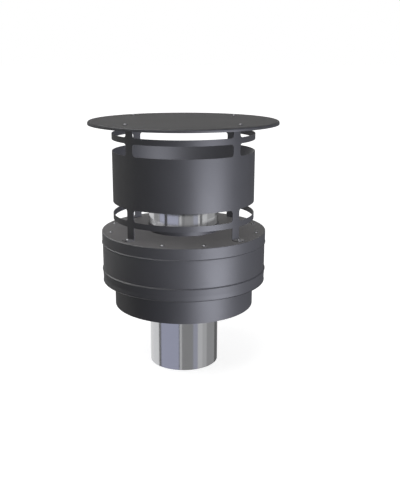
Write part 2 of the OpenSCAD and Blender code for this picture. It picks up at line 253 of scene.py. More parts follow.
def ring_of_fixings_tree(turned_section):
    """Turns a fixing's section, adds its thread, and sets a copy at each place on a circle. Unless Leave Out is
    0, every Leave Out-th place from the first one stays empty, for another fixing."""
    inputs = {
        "Segments": 24, "Places": LEG_COUNT, "Leave Out": 0, "Circle Radius": SCREW_CIRCLE,
        "First Angle": 0.0, "Height": 0.0, "Thread Radius": 2.0 * MM, "Thread Pitch": 0.7 * MM,
        "Thread Turns": 0.0, "Thread Foot": 0.0, "Seed": 0,
    }
    tree, given = geometry_group("ring_of_fixings", inputs)
    body = tree.nodes.new("GeometryNodeGroup")
    body.node_tree = turned_section
    for name in ("Section", "Segments", "Material"):
        tree.links.new(given[name], body.inputs[name])
    turns, pitch = given["Thread Turns"], given["Thread Pitch"]
    spiral_values = {"Resolution": THREAD_STEPS, "Rotations": turns, "Height": times(tree, turns, pitch)}
    spiral_values.update({end: given["Thread Radius"] for end in ("Start Radius", "End Radius")})
    spiral = output(tree, "GeometryNodeCurveSpiral", spiral_values)
    ridge_values = {"Resolution": RIDGE_SIDES, "Radius": times(tree, pitch, RIDGE_SHARE)}
    profile = node(tree, "GeometryNodeCurvePrimitiveCircle", ridge_values).outputs["Curve"]
    sweep = {"Curve": spiral, "Profile Curve": profile, "Fill Caps": True}
    ridge = output(tree, "GeometryNodeCurveToMesh", sweep)
    lift = vector(tree, Z=given["Thread Foot"])
    thread = output(tree, "GeometryNodeTransform", {"Geometry": ridge, "Translation": lift})
    choice = {"Switch": is_greater(tree, turns, 0.0), "True": thread}
    chosen = output(tree, "GeometryNodeSwitch", choice, input_type="GEOMETRY")
    joined = tree.nodes.new("GeometryNodeJoinGeometry")
    for part in (body.outputs[0], chosen):
        tree.links.new(part, joined.inputs[0])
    index = output(tree, "GeometryNodeInputIndex")
    share = over(tree, index, given["Places"])
    angle = times_plus(tree, share, TURN, given["First Angle"])
    spot = on_circle(tree, given["Circle Radius"], angle, given["Height"])
    points = output(tree, "GeometryNodePoints", {"Count": given["Places"], "Position": spot})
    from_empty = math_node(tree, "MODULO", index, math_node(tree, "MAXIMUM", given["Leave Out"], 1))
    taken = math_node(tree, "LESS_THAN", from_empty, 0.5)
    leaves = math_node(tree, "GREATER_THAN", given["Leave Out"], 0.5)
    empty = {"Geometry": points, "Selection": times(tree, taken, leaves)}
    kept = output(tree, "GeometryNodeDeleteGeometry", empty, domain="POINT")
    twist_values = {2: 0.0, 3: TURN, "Seed": given["Seed"]}
    twist = node(tree, "FunctionNodeRandomValue", twist_values, data_type="FLOAT").outputs[1]
    copies = {"Points": kept, "Instance": joined.outputs[0], "Rotation": vector(tree, Z=twist)}
    placed = output(tree, "GeometryNodeInstanceOnPoints", copies)
    return geometry_out(tree, placed, given["Material"])


# Sections of bent sheets, as points (radius, height)


def bent_path(corners, bends, arc_steps=8):
    """Middle line of a bent sheet: straight runs between the corners, and a bend at each inner corner."""
    path = [Vector(corners[0])]
    for before, corner, after, bend in zip(corners, corners[1:], corners[2:], bends):
        corner = Vector(corner)
        back = (Vector(before) - corner).normalized()
        ahead = (Vector(after) - corner).normalized()
        half = back.angle(ahead) / 2
        reach = bend / math.tan(half)
        centre = corner + (back + ahead).normalized() * (bend / math.sin(half))
        start = corner + back * reach - centre
        turn = math.pi - 2 * half
        side = 1 if start.x * ahead.y - start.y * ahead.x > 0 else -1
        for k in range(arc_steps + 1):
            a = side * turn * k / arc_steps
            path.append(centre + Vector((start.x * math.cos(a) - start.y * math.sin(a),
                                         start.x * math.sin(a) + start.y * math.cos(a))))
    path.append(Vector(corners[-1]))
    return path


def round_swell(steps=16):
    """A soft bead, as pairs of the place across its width and the share of its stand."""
    return [(k / steps, (1 - math.cos(TURN * k / steps)) / 2) for k in range(steps + 1)]


def beaded(path, middle, width, stand, swell):
    """Adds a rolled bead to the last run of a path. It stands out round the height middle, and swell gives its
    shape from its upper edge down."""
    end = path[-1]
    downward = path[0].y > middle
    kept = [p for p in path if abs(p.y - middle) > width / 2 + MERGE_GAP]
    ahead = [p for p in kept if (p.y > middle) == downward]
    behind = [p for p in kept if (p.y > middle) != downward]
    bead = [Vector((end.x + stand * out, middle + width * (0.5 - across))) for across, out in swell]
    if not downward:
        bead.reverse()
    return ahead + bead + behind


def sheet_outline(path, thickness, edge=0.2 * MM, edge_steps=3):
    """Closed outline of a sheet along a path, with softly rounded cut edges."""
    half = thickness / 2
    inner = [Vector(p) for p in path]
    start_way = (inner[1] - inner[0]).normalized()
    end_way = (inner[-1] - inner[-2]).normalized()
    inner[0] = inner[0] + start_way * edge
    inner[-1] = inner[-1] - end_way * edge
    left, right = [], []
    for k, point in enumerate(inner):
        way = inner[min(k + 1, len(inner) - 1)] - inner[max(k - 1, 0)]
        widen = 1
        if 0 < k < len(inner) - 1:
            before, after = (point - inner[k - 1]).normalized(), (inner[k + 1] - point).normalized()
            way = before + after
            widen = 1 / max(0.5, math.cos(before.angle(after) / 2))
        normal = Vector((-way.y, way.x)).normalized()
        left.append(point + normal * half * widen)
        right.append(point - normal * half * widen)

    def rounded_end(point, way):
        """Points round an end that looks along way, from the sheet's left face across to its right one."""
        normal = Vector((-way.y, way.x))
        steps = list(range(1, edge_steps + 1))
        arc = []
        for side, order in ((1, steps), (-1, steps[::-1])):
            for k in order:
                a = math.pi / 2 * k / edge_steps
                arc.append(point + side * normal * (half - edge + edge * math.cos(a)) + way * edge * math.sin(a))
        return arc

    return left + rounded_end(inner[-1], end_way) + right[::-1] + rounded_end(inner[0], -start_way)


def tube_path(radius, low, high):
    return [Vector((radius, low)), Vector((radius, high))]


# Objects made from sections


def add_object(name, data):
    made = bpy.data.objects.new(name, data)
    bpy.context.scene.collection.objects.link(made)
    return made


def section_object(name, outline, closed=True, six_sided=()):
    """A line of points in the XZ plane. six_sided lists the places in it that are turned as a hexagon."""
    points = list(outline) + ([outline[0]] if closed else [])
    mesh = bpy.data.meshes.new(name)
    mesh.from_pydata([(p[0], 0, p[1]) for p in points], [(k, k + 1) for k in range(len(points) - 1)], [])
    flag = mesh.attributes.new("six_sided", "FLOAT", "POINT")
    for k in six_sided:
        flag.data[k].value = 1.0
    return add_object(name, mesh)


def add_nodes(piece, tree, values):
    """A Geometry Nodes modifier whose inputs are given by their names in the tree."""
    modifier = piece.modifiers.new(tree.name, "NODES")
    modifier.node_group = tree
    identifiers = {s.name: s.identifier for s in tree.interface.items_tree if s.in_out == "INPUT"}
    for name, value in values.items():
        modifier[identifiers[name]] = value


def apply_modifiers(piece):
    """Keeps the evaluated shape as the plain mesh and removes the modifiers."""
    bpy.context.view_layer.update()
    graph = bpy.context.evaluated_depsgraph_get()
    shaped = piece.evaluated_get(graph)
    mesh = bpy.data.meshes.new_from_object(shaped, preserve_all_data_layers=True, depsgraph=graph)
    mesh.name = piece.name
    piece.modifiers.clear()
    piece.data = mesh
    if "six_sided" in mesh.attributes:
        mesh.attributes.remove(mesh.attributes["six_sided"])
    if len(mesh.materials) > 1 and mesh.materials[0] is None:
        mesh.materials.pop(index=0)


def weight_normals(piece):
    """Flat and round faces keep their own normals, and only the narrow edge rounds blend."""
    modifier = piece.modifiers.new("even_shading", "WEIGHTED_NORMAL")
    modifier.weight = 100
    modifier.keep_sharp = True


def finish_piece(piece, material, replaced):
    weight_normals(piece)
    apply_modifiers(piece)
    if not piece.data.materials:
        piece.data.materials.append(material)
    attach(piece, BODY)
    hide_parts(*replaced)


# Finishes


def orange_peel_group():
    """The fine waviness of a sprayed and baked powder coat, as a height, and its slow change of tone."""
    inputs = {"Grain Size": 1.2 * MM, "Cloud Size": 120 * MM}
    tree, given = new_group("orange_peel", "ShaderNodeTree", inputs, ["Height", "Tone", "Fleck"])
    place = own_place(tree)
    fine = noise(tree, place, over(tree, 1, given["Grain Size"]), 2.0)
    clouds = noise(tree, place, over(tree, 1, given["Cloud Size"]), 4.0)
    flecks = noise(tree, place, over(tree, 0.4, given["Grain Size"]), 1.0)
    tone = smooth_step(tree, clouds, 0.3, 0.7)
    return group_out(tree, {"Height": fine, "Tone": tone, "Fleck": smooth_step(tree, flecks, 0.62, 0.74)})


def settled_dust_group():
    """Dust that lies on faces that look up, thicker in soft patches."""
    tree, given = new_group("settled_dust", "ShaderNodeTree", {"Patch Size": 60 * MM, "Amount": 0.2}, ["Mask"])
    patches = noise(tree, own_place(tree), over(tree, 1, given["Patch Size"]), 6.0)
    normal = tree.nodes.new("ShaderNodeNewGeometry").outputs["Normal"]
    upward = smooth_step(tree, split_vector(tree, normal)["Z"], 0.4, 0.95)
    thickness = times_plus(tree, smooth_step(tree, patches, 0.3, 0.7), 0.15, 0.85)
    mask = times(tree, upward, thickness)
    return group_out(tree, {"Mask": times(tree, mask, given["Amount"])})


def rolled_grain_group():
    """Fine lines round the Z axis, left by the rolls, and slow blotches along them."""
    inputs = {"Line Width": 0.5 * MM, "Line Length": 30 * MM, "Radius": 75 * MM}
    tree, given = new_group("rolled_grain", "ShaderNodeTree", inputs, ["Lines", "Blotches"])
    place = own_place(tree)
    split = split_vector(tree, place)
    flat = vector(tree, X=split["X"], Y=split["Y"])
    around = output(tree, "ShaderNodeVectorMath", {0: flat}, operation="NORMALIZE")
    stretch = {0: around, "Scale": over(tree, given["Radius"], given["Line Length"])}
    ways = split_vector(tree, output(tree, "ShaderNodeVectorMath", stretch, operation="SCALE"))
    lined = vector(tree, X=ways["X"], Y=ways["Y"], Z=over(tree, split["Z"], given["Line Width"]))
    return group_out(tree, {"Lines": noise(tree, lined, 1.0, 2.0), "Blotches": noise(tree, place, 14.0, 3.0)})


def group_node(tree, group, **values):
    made = tree.nodes.new("ShaderNodeGroup")
    made.node_tree = group
    for name, value in values.items():
        made.inputs[name.replace("_", " ").title()].default_value = value
    return made.outputs


def empty_material(name):
    material = bpy.data.materials.new(name)
    material.use_nodes = True
    material.node_tree.nodes.clear()
    return material, material.node_tree


def surface_out(tree, socket):
    tree.links.new(socket, tree.nodes.new("ShaderNodeOutputMaterial").inputs["Surface"])


def new_material(name):
    material, tree = empty_material(name)
    shader = tree.nodes.new("ShaderNodeBsdfPrincipled")
    surface_out(tree, shader.outputs[0])
    return material, tree, shader


def give(tree, shader, **results):
    """Links results to the shader's inputs of the same names."""
    for name, value in results.items():
        tree.links.new(value, shader.inputs[name.replace("_", " ").title()])


def bump(tree, shader, height, strength, distance):
    made = node(tree, "ShaderNodeBump", {"Height": height, "Strength": strength, "Distance": distance})
    give(tree, shader, normal=made.outputs[0])


SHEET_SEGMENTS = 288
PAINT_ROUGHNESS = 0.48
FLECK_SHARE = 0.15
DUST_COLOUR = (0.22, 0.21, 0.20)
STEEL_ROUGHNESS = 0.10
WELD_EDGE = (1.6 * MM, 1.1 * MM)
HEAT_EDGE = (7 * MM, 1.5 * MM)
HEAT_COLOUR = (0.52, 0.43, 0.30)
WELD_COLOUR = (0.5, 0.5, 0.5)


def anthracite_paint(name, tone):
    """Satin powder coat, baked on steel sheet."""
    material, tree, shader = new_material(name)
    peel = group_node(tree, ORANGE_PEEL, grain_size=1.3 * MM, cloud_size=140 * MM)
    dust = group_node(tree, SETTLED_DUST, patch_size=45 * MM, amount=0.16)
    darker, lighter, fleck = [tuple(c * share for c in tone) for share in (0.93, 1.05, 1.8)]
    coat = mix_colour(tree, peel["Tone"], darker, lighter)
    coat = mix_colour(tree, times(tree, peel["Fleck"], FLECK_SHARE), coat, fleck)
    rough = times_plus(tree, peel["Tone"], 0.05, PAINT_ROUGHNESS)
    dusty_rough = times_plus(tree, dust["Mask"], 0.4, rough)
    give(tree, shader, base_color=mix_colour(tree, dust["Mask"], coat, DUST_COLOUR), roughness=dusty_rough)
    shader.inputs["Specular IOR Level"].default_value = 0.5
    bump(tree, shader, peel["Height"], 0.12, 0.12 * MM)
    return material


def bright_steel():
    """Bright rolled stainless sheet of the flue pipe, with its weld at the back."""
    material, tree, shader = new_material("bright_rolled_steel")
    grain = group_node(tree, ROLLED_GRAIN, line_width=0.35 * MM, line_length=26 * MM, radius=PIPE_R)
    place = own_place(tree)
    split = split_vector(tree, place)
    wander = times_plus(tree, noise(tree, place, 900.0, 2.0), 0.5 * MM, -0.25 * MM)
    off_weld = math_node(tree, "ABSOLUTE", math_node(tree, "ADD", split["X"], wander))
    behind = math_node(tree, "GREATER_THAN", split["Y"], 0.0)
    weld = times(tree, smooth_step(tree, off_weld, *WELD_EDGE), behind)
    heat = times(tree, smooth_step(tree, off_weld, *HEAT_EDGE), behind)
    steel = mix_colour(tree, grain["Blotches"], (0.60, 0.605, 0.62), (0.66, 0.665, 0.68))
    tinted = mix_colour(tree, times(tree, heat, 0.5), steel, HEAT_COLOUR)
    welded = mix_colour(tree, times(tree, weld, 0.6), tinted, WELD_COLOUR)
    rough = times_plus(tree, grain["Lines"], 0.05, STEEL_ROUGHNESS)
    give(tree, shader, base_color=welded, roughness=times_plus(tree, weld, 0.3, rough))
    shader.inputs["Metallic"].default_value = 1.0
    relief = times_plus(tree, weld, 3.0, grain["Lines"])
    bump(tree, shader, relief, 0.25, 0.02 * MM)
    return material


def turned_steel():
    """Stainless screws and rivets."""
    material, tree, shader = new_material("turned_steel")
    grain = group_node(tree, ROLLED_GRAIN, line_width=0.2 * MM, line_length=4 * MM, radius=160 * MM)
    colour = mix_colour(tree, grain["Blotches"], (0.26, 0.26, 0.27), (0.34, 0.34, 0.35))
    give(tree, shader, base_color=colour, roughness=times_plus(tree, grain["Lines"], 0.12, 0.34))
    shader.inputs["Metallic"].default_value = 1.0
    bump(tree, shader, grain["Lines"], 0.2, 0.02 * MM)
    return material


def zinc_coat():
    """Zinc-coated steel with a faint spangle."""
    material, tree, shader = new_material("zinc_coat")
    spangle = {"Vector": own_place(tree), "Scale": 160.0, "Randomness": 1.0}
    cells = node(tree, "ShaderNodeTexVoronoi", spangle).outputs
    shade = output(tree, "ShaderNodeSeparateColor", {"Color": cells["Color"]})
    colour = mix_colour(tree, shade, (0.42, 0.43, 0.44), (0.58, 0.59, 0.60))
    give(tree, shader, base_color=colour, roughness=times_plus(tree, shade, 0.18, 0.34))
    shader.inputs["Metallic"].default_value = 1.0
    bump(tree, shader, cells["Distance"], 0.15, 0.05 * MM)
    return material


def grainy_solid(name, light, dark, scale, rough, depth, stretch=(1, 1, 1)):
    """Rubber, pressed fibre and loose wool: a noisy colour and relief."""
    material, tree, shader = new_material(name)
    spread = output(tree, "ShaderNodeMapping", {"Vector": own_place(tree), "Scale": stretch})
    grain = noise(tree, spread, scale, 8.0)
    mask = smooth_step(tree, grain, 0.3, 0.7)
    colour = mix_colour(tree, mask, dark, light)
    give(tree, shader, base_color=colour, roughness=times_plus(tree, mask, 0.08, rough))
    bump(tree, shader, grain, 0.6, depth)
    return material


ORANGE_PEEL = orange_peel_group()
SETTLED_DUST = settled_dust_group()
ROLLED_GRAIN = rolled_grain_group()
TURNED_SECTION = turned_section_tree()
RING_OF_FIXINGS = ring_of_fixings_tree(TURNED_SECTION)

PAINT = anthracite_paint("anthracite_paint", (0.029, 0.029, 0.0315))
STEEL = bright_steel()
SCREW_STEEL = turned_steel()
ZINC = zinc_coat()
RUBBER = grainy_solid("grey_rubber", (0.085, 0.085, 0.087), (0.06, 0.06, 0.062), 700.0, 0.62, 0.05 * MM)
FIBRE = grainy_solid("pressed_fibre", (0.74, 0.73, 0.68), (0.55, 0.54, 0.49), 420.0, 0.85, 0.2 * MM)
WOOL = grainy_solid("mineral_wool", (0.56, 0.50, 0.28), (0.34, 0.30, 0.15), 90.0, 0.9, 2 * MM, (1, 1, 4))


def turned_sheet(replaced, outline, material=PAINT, closed=True):
    """A turned piece that has its name from the node it replaces."""
    piece = section_object(f"{replaced}_sheet", outline, closed)
    add_nodes(piece, TURNED_SECTION, {"Segments": SHEET_SEGMENTS, "Material": material})
    finish_piece(piece, material, [replaced])


def ring_piece(name, outline, material, replaced, slot, six_sided=(), closed=False, **values):
    piece = section_object(name, outline, closed, six_sided)
    add_nodes(piece, RING_OF_FIXINGS, {"Material": material, **values})
    finish_piece(piece, material, [replaced])


# Sheet-metal pieces

PLATE_BEND = 2.5 * MM
PLATE_EDGE = 0.4 * MM
AXIS_GAP = 0.5 * MM
COLLAR_BEND = 1.6 * MM
LID_BEND = 1.4 * MM
BASE_BEND = 0.8 * MM
BASE_HOLE_R = COLLAR_R + 1.15 * MM
FLANGE_END = 2 * MM
BEAD_DROP = 25 * MM
BEAD_UP = 0.8 * MM
BEAD_WIDTH = 2.4 * MM
BEAD_STAND = 0.8 * MM
BEAD_SWELL = [(0.0, 0.0), (0.03, 0.03), (0.72, 0.97), (0.77, 1.0), (0.82, 0.97), (0.98, 0.05), (1.0, 0.0)]
STOP_Z = 144 * MM
STOP_WIDTH = 6 * MM
STOP_STAND = 2 * MM


def rain_plate():
    middle = PLATE_SHEET / 2
    flat_z, flange_r = PLATE_Z - middle, rim("rain_plate") - middle
    corners = [(0.0, flat_z), (flange_r, flat_z), (flange_r, foot("rain_plate"))]
    outline = sheet_outline(bent_path(corners, [PLATE_BEND]), PLATE_SHEET, edge=PLATE_EDGE)
    open_line = [p for p in outline if p.x > AXIS_GAP]
    whole_line = [(0.0, PLATE_Z)] + open_line + [(0.0, PLATE_Z - PLATE_SHEET)]
    turned_sheet("rain_plate", whole_line, closed=False)


def drum_end(name, face_z, down, hole_r, bend):
    """Lid or base: a flat face with a beaded flange that goes down from it (down is -1) or up (1)."""
    middle = DRUM_SHEET / 2
    flat_z, flange_r = face_z + down * middle, DRUM_R - middle
    bead_z = face_z + down * BEAD_DROP
    corners = [(hole_r, flat_z), (flange_r, flat_z), (flange_r, bead_z + down * FLANGE_END)]
    path = beaded(bent_path(corners, [bend]), bead_z + BEAD_UP, BEAD_WIDTH, BEAD_STAND, BEAD_SWELL)
    turned_sheet(name, sheet_outline(path, DRUM_SHEET))


def painted_tube(name, sheet):
    """A plain rolled tube with the size of the node it replaces."""
    path = tube_path(rim(name) - sheet / 2, foot(name), top(name))
    turned_sheet(name, sheet_outline(path, sheet))


def outer_collar():
    middle = COLLAR_SHEET / 2
    wall_r, flange_z = COLLAR_R - middle, COLLAR_TOP_Z - middle
    corners = [(wall_r, foot("outer_collar")), (wall_r, flange_z), (rim("outer_collar"), flange_z)]
    turned_sheet("outer_collar", sheet_outline(bent_path(corners, [COLLAR_BEND]), COLLAR_SHEET))


def flue_pipe():
    path = tube_path(PIPE_R - PIPE_SHEET / 2, foot("flue_pipe"), top("flue_pipe"))
    path = beaded(path, STOP_Z, STOP_WIDTH, STOP_STAND, round_swell())
    turned_sheet("flue_pipe", sheet_outline(path, PIPE_SHEET), STEEL)


# The cage, one sheet with its windows cut out

LEG_HALF = 10 * MM
WINDOW_CORNER = 6 * MM
WINDOW_STEPS = 20
CORNER_STEPS = 6
TAB_CORNER = 3 * MM
TAB_CORNER_STEPS = 4
TAB_BEND = 1.5 * MM
BEND_STEPS = 5
TAB_END_R = 167 * MM
LOWER_RING = (325 * MM, 337 * MM)
SHIELD = (361.5 * MM, 468 * MM)
UPPER_RING = (492.5 * MM, 504.5 * MM)
FIRST_RING_ROW = BEND_STEPS + 2
RING_ROWS = range(FIRST_RING_ROW, FIRST_RING_ROW + 6)
HAIR = 1e-6 * MM
CAGE_MERGE_GAP = 0.01 * MM
CAGE_EDGE = 0.25 * MM
CAGE_EDGE_ANGLE = math.radians(50)
INNER_COLUMN = 3.5 * MM


def corner_drop(across):
    """How far a window's round corner reaches past its edge, at a distance across from the leg's middle."""
    rest = min(LEG_HALF + WINDOW_CORNER - abs(across), WINDOW_CORNER)
    if rest <= 0:
        return 0.0
    return WINDOW_CORNER - math.sqrt(max(0.0, WINDOW_CORNER**2 - rest**2))


def cage_columns():
    """Distances across a leg, from the middle of one window to that of the next, at the cage's radius."""
    half = [0.0, INNER_COLUMN]
    for k in range(TAB_CORNER_STEPS):
        half.append(LEG_HALF - TAB_CORNER * (1 - math.sin(math.pi / 2 * k / TAB_CORNER_STEPS)))
    for k in range(CORNER_STEPS + 1):
        half.append(LEG_HALF + WINDOW_CORNER * (1 - math.cos(math.pi / 2 * k / CORNER_STEPS)))
    start = math.asin(half[-1] / CAGE_R)
    last = math.pi / LEG_COUNT
    for k in range(1, WINDOW_STEPS + 1):
        half.append(CAGE_R * math.sin(start + (last - start) * k / WINDOW_STEPS))
    return [-v for v in half[:0:-1]] + half


def cage_rows(across):
    """Places (radius, height) up the cage's outer face at one column, from the foot tab to the top tab."""
    in_leg = min(abs(across), LEG_HALF)
    drop = corner_drop(across)
    tab_in = TAB_CORNER - math.sqrt(max(0.0, TAB_CORNER**2 - max(0.0, in_leg - LEG_HALF + TAB_CORNER) ** 2))
    low_z = foot("cage") + CAGE_SHEET
    high_z = top("cage") - CAGE_SHEET
    bend_r = CAGE_R + TAB_BEND
    rows = [(TAB_END_R - tab_in, low_z)]
    for k in range(BEND_STEPS + 1):
        a = math.pi / 2 * k / BEND_STEPS
        rows.append((bend_r - TAB_BEND * math.sin(a), low_z + TAB_BEND * (1 - math.cos(a))))
    rows += [(CAGE_R, LOWER_RING[0]), (CAGE_R, LOWER_RING[1] + drop)]
    rows += [(CAGE_R, SHIELD[0] - drop), (CAGE_R, SHIELD[1] + drop)]
    rows += [(CAGE_R, UPPER_RING[0] - drop), (CAGE_R, UPPER_RING[1] + drop)]
    for k in range(BEND_STEPS + 1):
        a = math.pi / 2 * (1 - k / BEND_STEPS)
        rows.append((bend_r - TAB_BEND * math.sin(a), high_z - TAB_BEND * (1 - math.cos(a))))
    rows.append((TAB_END_R - tab_in, high_z))
    return rows


def cage():
    columns = cage_columns()
    row_count = len(cage_rows(0.0))
    solid_bands = RING_ROWS[::2]
    verts, faces, index = [], [], {}
    for leg in range(LEG_COUNT):
        turn = FIRST_LEG + leg * TURN / LEG_COUNT
        for c, across in enumerate(columns):
            for r, (radius, z) in enumerate(cage_rows(across)):
                if abs(across) > LEG_HALF + HAIR and r not in RING_ROWS:
                    continue
                along = math.sqrt(radius**2 - across**2)
                index[leg, c, r] = len(verts)
                verts.append((along * math.cos(turn) - across * math.sin(turn),
                              along * math.sin(turn) + across * math.cos(turn), z))
        for c in range(len(columns) - 1):
            in_leg = max(abs(columns[c]), abs(columns[c + 1])) <= LEG_HALF + HAIR
            for r in range(row_count - 1):
                if in_leg or r in solid_bands:
                    corners = ((c, r), (c + 1, r), (c + 1, r + 1), (c, r + 1))
                    faces.append([index[leg, column, row] for column, row in corners])
    mesh = bpy.data.meshes.new("cage_sheet")
    mesh.from_pydata(verts, [], faces)
    for polygon in mesh.polygons:
        polygon.use_smooth = True
    piece = add_object("cage_sheet", mesh)
    weld = piece.modifiers.new("weld", "WELD")
    weld.merge_threshold = CAGE_MERGE_GAP
    solid = piece.modifiers.new("sheet", "SOLIDIFY")
    solid.thickness = CAGE_SHEET
    solid.offset = -1
    solid.use_even_offset = True
    bevel = piece.modifiers.new("edges", "BEVEL")
    bevel.width = CAGE_EDGE
    bevel.segments = 2
    bevel.limit_method = "ANGLE"
    bevel.angle_limit = CAGE_EDGE_ANGLE
    finish_piece(piece, PAINT, ["cage"])


# Fixings

HEAD_R = 3.5 * MM
HEAD_H = 2.2 * MM
HEAD_EDGE = 0.25 * MM
DOME_STEPS = 9
SHANK_R = 2.0 * MM
SHANK_FILLET = 0.2 * MM
CORE_R = SHANK_R - 0.3 * MM
TIP_R = CORE_R - 0.5 * MM
RECESS_HALF = 1.25 * MM
RECESS_MOUTH_R = 1.54 * MM
RECESS_DEPTH = 1.2 * MM
RECESS_POINT = 0.35 * MM
THREAD_PITCH = 0.7 * MM
THREAD_START = 0.8 * MM
THREAD_END = 0.6 * MM
PLAIN_LENGTH = 1.6 * MM
PLATE_SCREW_LENGTH = 10 * MM
FOOT_SCREW_LENGTH = 14.5 * MM
LID_SCREW_LENGTH = 13 * MM
SCREW_SEGMENTS = 24
LID_PLACES = 12
LEG_EVERY = LID_PLACES // LEG_COUNT

WASHER_BORE_R = 2.2 * MM
WASHER_R = 5 * MM
WASHER_H = 0.8 * MM
WASHER_EDGE = 0.3 * MM
NUT_BORE_R = 2.05 * MM
NUT_HALF = 3.5 * MM
NUT_H = 3.2 * MM
NUT_BORE_CHAMFER = 0.3 * MM
NUT_CHAMFER = 0.35 * MM
NUT_CHAMFER_H = 0.25 * MM
ROUND_SEGMENTS = 48

RIVET_HEAD_R = 4 * MM
RIVET_HEAD_H = 1.4 * MM
RIVET_R = 2 * MM
RIVET_TAIL_R = 3 * MM
RIVET_TAIL_H = 2.5 * MM
RIVET_PIN_R = 0.8 * MM
RIVET_PIN_DEPTH = 0.5 * MM
RIVET_MOUTH_R = 1.1 * MM
RIVET_DOME_STEPS = 7
RIVET_COUNT = 8


def dome(radius, height, mouth_r, steps):
    """Points (radius, drop below the dome's top) from a mouth in its middle out to its edge."""
    ball_r = (radius**2 + height**2) / (2 * height)
    start, end = math.asin(mouth_r / ball_r), math.asin(radius / ball_r)
    angles = [start + (end - start) * k / steps for k in range(steps + 1)]
    return [(ball_r * math.sin(a), ball_r - ball_r * math.cos(a)) for a in angles]


def screw_outline(length):
    """A domed head with a hexagon recess on z = 0, and a shank below it. Also gives the recess's places."""
    recess_z = HEAD_H - RECESS_DEPTH
    points = [(0.0, recess_z - RECESS_POINT), (RECESS_HALF * 0.9, recess_z),
              (RECESS_HALF, recess_z + 0.1 * MM), (RECESS_HALF, HEAD_H - HEAD_EDGE)]
    points += [(r, HEAD_H - drop) for r, drop in dome(HEAD_R, HEAD_H, RECESS_MOUTH_R, DOME_STEPS)[:-1]]
    points += [(HEAD_R, HEAD_EDGE), (HEAD_R - SHANK_FILLET, 0.0), (SHANK_R + SHANK_FILLET, 0.0),
               (SHANK_R, -SHANK_FILLET), (CORE_R, -THREAD_START), (CORE_R, -length + THREAD_END),
               (TIP_R, -length), (0.0, -length)]
    return points[::-1], [len(points) - 1 - k for k in (1, 2, 3)]


def on_screw_circle(segments, places, height, leave_out=0, seed=0):
    """What the ring's tree is told about a set of fixings on the screws' circle."""
    return {"Segments": segments, "Places": places, "Height": height, "Leave Out": leave_out, "Seed": seed,
            "Circle Radius": SCREW_CIRCLE, "First Angle": FIRST_LEG}


def screws(name, replaced, length, seat_z, seed, places=LEG_COUNT, leave_out=0):
    outline, recess = screw_outline(length)
    thread = {"Thread Radius": CORE_R, "Thread Pitch": THREAD_PITCH, "Thread Foot": -length + THREAD_END,
              "Thread Turns": (length - PLAIN_LENGTH) / THREAD_PITCH}
    ring_piece(name, outline, SCREW_STEEL, replaced, "screw_steel", recess, **thread,
               **on_screw_circle(SCREW_SEGMENTS, places, seat_z, leave_out, seed))


def washers():
    """The sealing washers under the rain plate screws, the lid screws and the foot screws."""
    path = [Vector((WASHER_BORE_R, WASHER_H / 2)), Vector((WASHER_R, WASHER_H / 2))]
    section = sheet_outline(path, WASHER_H, edge=WASHER_EDGE)
    for name, replaced, places, seat_z, leave_out in (
        ("plate_washers", "rain_plate_washers", LEG_COUNT, PLATE_Z, 0),
        ("lid_circle_washers", "lid_washers", LID_PLACES, LID_Z, LEG_EVERY),
        ("leg_foot_washers", "lid_washers", LEG_COUNT, LID_Z + CAGE_SHEET, 0),
    ):
        ring_piece(name, section, RUBBER, replaced, "seal_rubber", closed=True,
                   **on_screw_circle(ROUND_SEGMENTS, places, seat_z, leave_out))


def nuts():
    """Chamfered hexagon nuts. Places 3 and 4 of the section are on the flats."""
    inner, outer = NUT_BORE_R + NUT_BORE_CHAMFER, NUT_HALF - NUT_CHAMFER
    section = [(NUT_BORE_R, NUT_BORE_CHAMFER), (inner, 0.0), (outer, 0.0), (NUT_HALF, NUT_CHAMFER_H),
               (NUT_HALF, NUT_H - NUT_CHAMFER_H), (outer, NUT_H), (inner, NUT_H),
               (NUT_BORE_R, NUT_H - NUT_BORE_CHAMFER)]
    for name, replaced, places, seed in (("plate_nuts", "rain_plate_nuts", LEG_COUNT, 5),
                                         ("lid_weld_nuts", "lid_nuts", LID_PLACES, 6)):
        ring_piece(name, section, ZINC, replaced, "zinc_steel", (3, 4), closed=True,
                   **on_screw_circle(ROUND_SEGMENTS, places, foot(replaced), seed=seed))


def rivets():
    """Blind rivets: the domed head is under the base, and the set end is on the anchor plate."""
    low, high = foot("base_rivets"), top("base_rivets")
    face, grip = low + RIVET_HEAD_H, high - RIVET_TAIL_H
    points = [(0.0, low + RIVET_PIN_DEPTH), (RIVET_PIN_R, low + RIVET_PIN_DEPTH),
              (RIVET_PIN_R + 0.15 * MM, low + 0.05 * MM)]
    head = dome(RIVET_HEAD_R, RIVET_HEAD_H, RIVET_MOUTH_R, RIVET_DOME_STEPS)
    points += [(r, low + rise) for r, rise in head[:-1]]
    points += [(RIVET_HEAD_R, face - 0.15 * MM), (RIVET_HEAD_R - 0.1 * MM, face), (RIVET_R, face),
               (RIVET_R, grip), (RIVET_TAIL_R - 0.2 * MM, grip), (RIVET_TAIL_R, grip + 0.3 * MM),
               (RIVET_TAIL_R - 0.3 * MM, high - 0.6 * MM), (RIVET_TAIL_R - 1.2 * MM, high), (0.0, high)]
    ring_piece("base_blind_rivets", points, SCREW_STEEL, "base_rivets", "screw_steel",
               **{"Segments": SCREW_SEGMENTS, "Places": RIVET_COUNT, "Circle Radius": RIVET_CIRCLE,
                  "First Angle": TURN / RIVET_COUNT / 2, "Seed": 9})


def dress_hidden_nodes():
    """CAD nodes that stay as they are, inside the drum, get their finishes."""
    hidden = {"lid_gasket": FIBRE, "lid_ring": ZINC, "upper_wool_slab": WOOL, "lower_wool_slab": WOOL,
              "anchor_plate": ZINC}
    for name, material in hidden.items():
        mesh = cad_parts[name].data
        mesh.materials.clear()
        mesh.materials.append(material)


